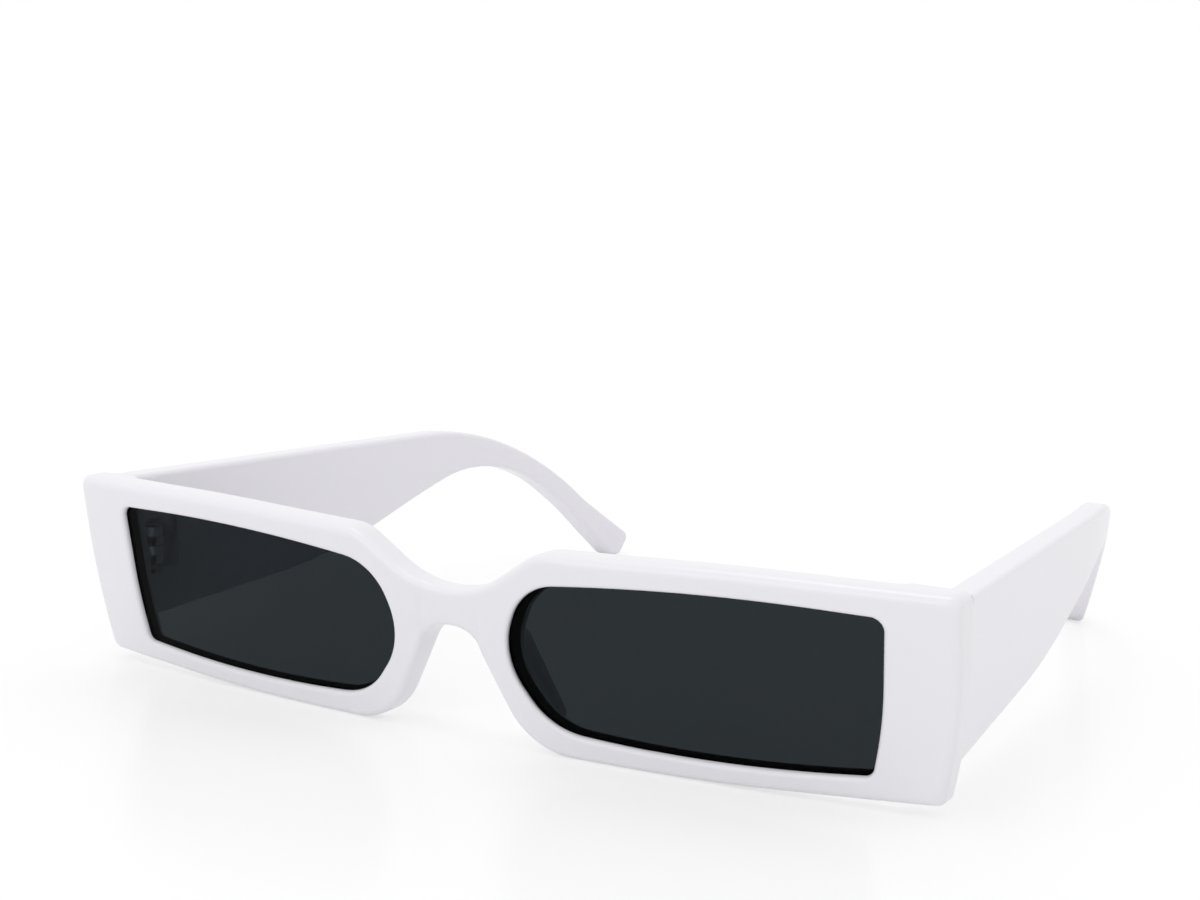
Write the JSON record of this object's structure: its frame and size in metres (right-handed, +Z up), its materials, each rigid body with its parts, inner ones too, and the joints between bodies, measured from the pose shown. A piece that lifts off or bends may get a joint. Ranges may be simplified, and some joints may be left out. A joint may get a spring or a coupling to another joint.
{
  "type": "slim sunglasses",
  "caption": "Slim rectangular sunglasses with a thick glossy white front, dark tinted lenses in a groove, wide flat temples that hook down behind the ear, and barrel hinges.",
  "frame": {"origin": "middle of the footprint, on the surface the rims and the temple tips stand on", "axes": "+X to the wearer's left, the front faces -Y and the temples run back along +Y, +Z up"},
  "size_m": [0.1436, 0.1408, 0.03],
  "materials": {
    "front_plastic": "polished white moulded plastic",
    "temple_plastic": "polished white moulded plastic",
    "lens_tint": "dark grey tinted lens, polished",
    "hinge_metal": "satin nickel silver",
    "screw_metal": "turned steel",
    "core_metal": "flat drawn strip"
  },
  "bodies": {
    "front": {"frame_front": "front_plastic", "lens_left": "lens_tint", "lens_right": "lens_tint", "front_hinge_leaf_left": "hinge_metal", "front_hinge_leaf_right": "hinge_metal", "hinge_screw_left": "screw_metal", "hinge_screw_right": "screw_metal"},
    "left_temple": {"temple_left": "temple_plastic", "temple_hinge_leaf_left": "hinge_metal", "temple_core_left": "core_metal"},
    "right_temple": {"temple_right": "temple_plastic", "temple_hinge_leaf_right": "hinge_metal", "temple_core_right": "core_metal"}
  },
  "joints": [
    {"name": "left_fold", "type": "hinge", "parent": "front", "child": "left_temple", "pos_m": [0.0644, -0.05587, 0.0177], "axis": [0, 0, 1], "range_deg": [0, 82.7]},
    {"name": "right_fold", "type": "hinge", "parent": "front", "child": "right_temple", "pos_m": [-0.0644, -0.05587, 0.0177], "axis": [0, 0, -1], "range_deg": [0, 52]}
  ]
}
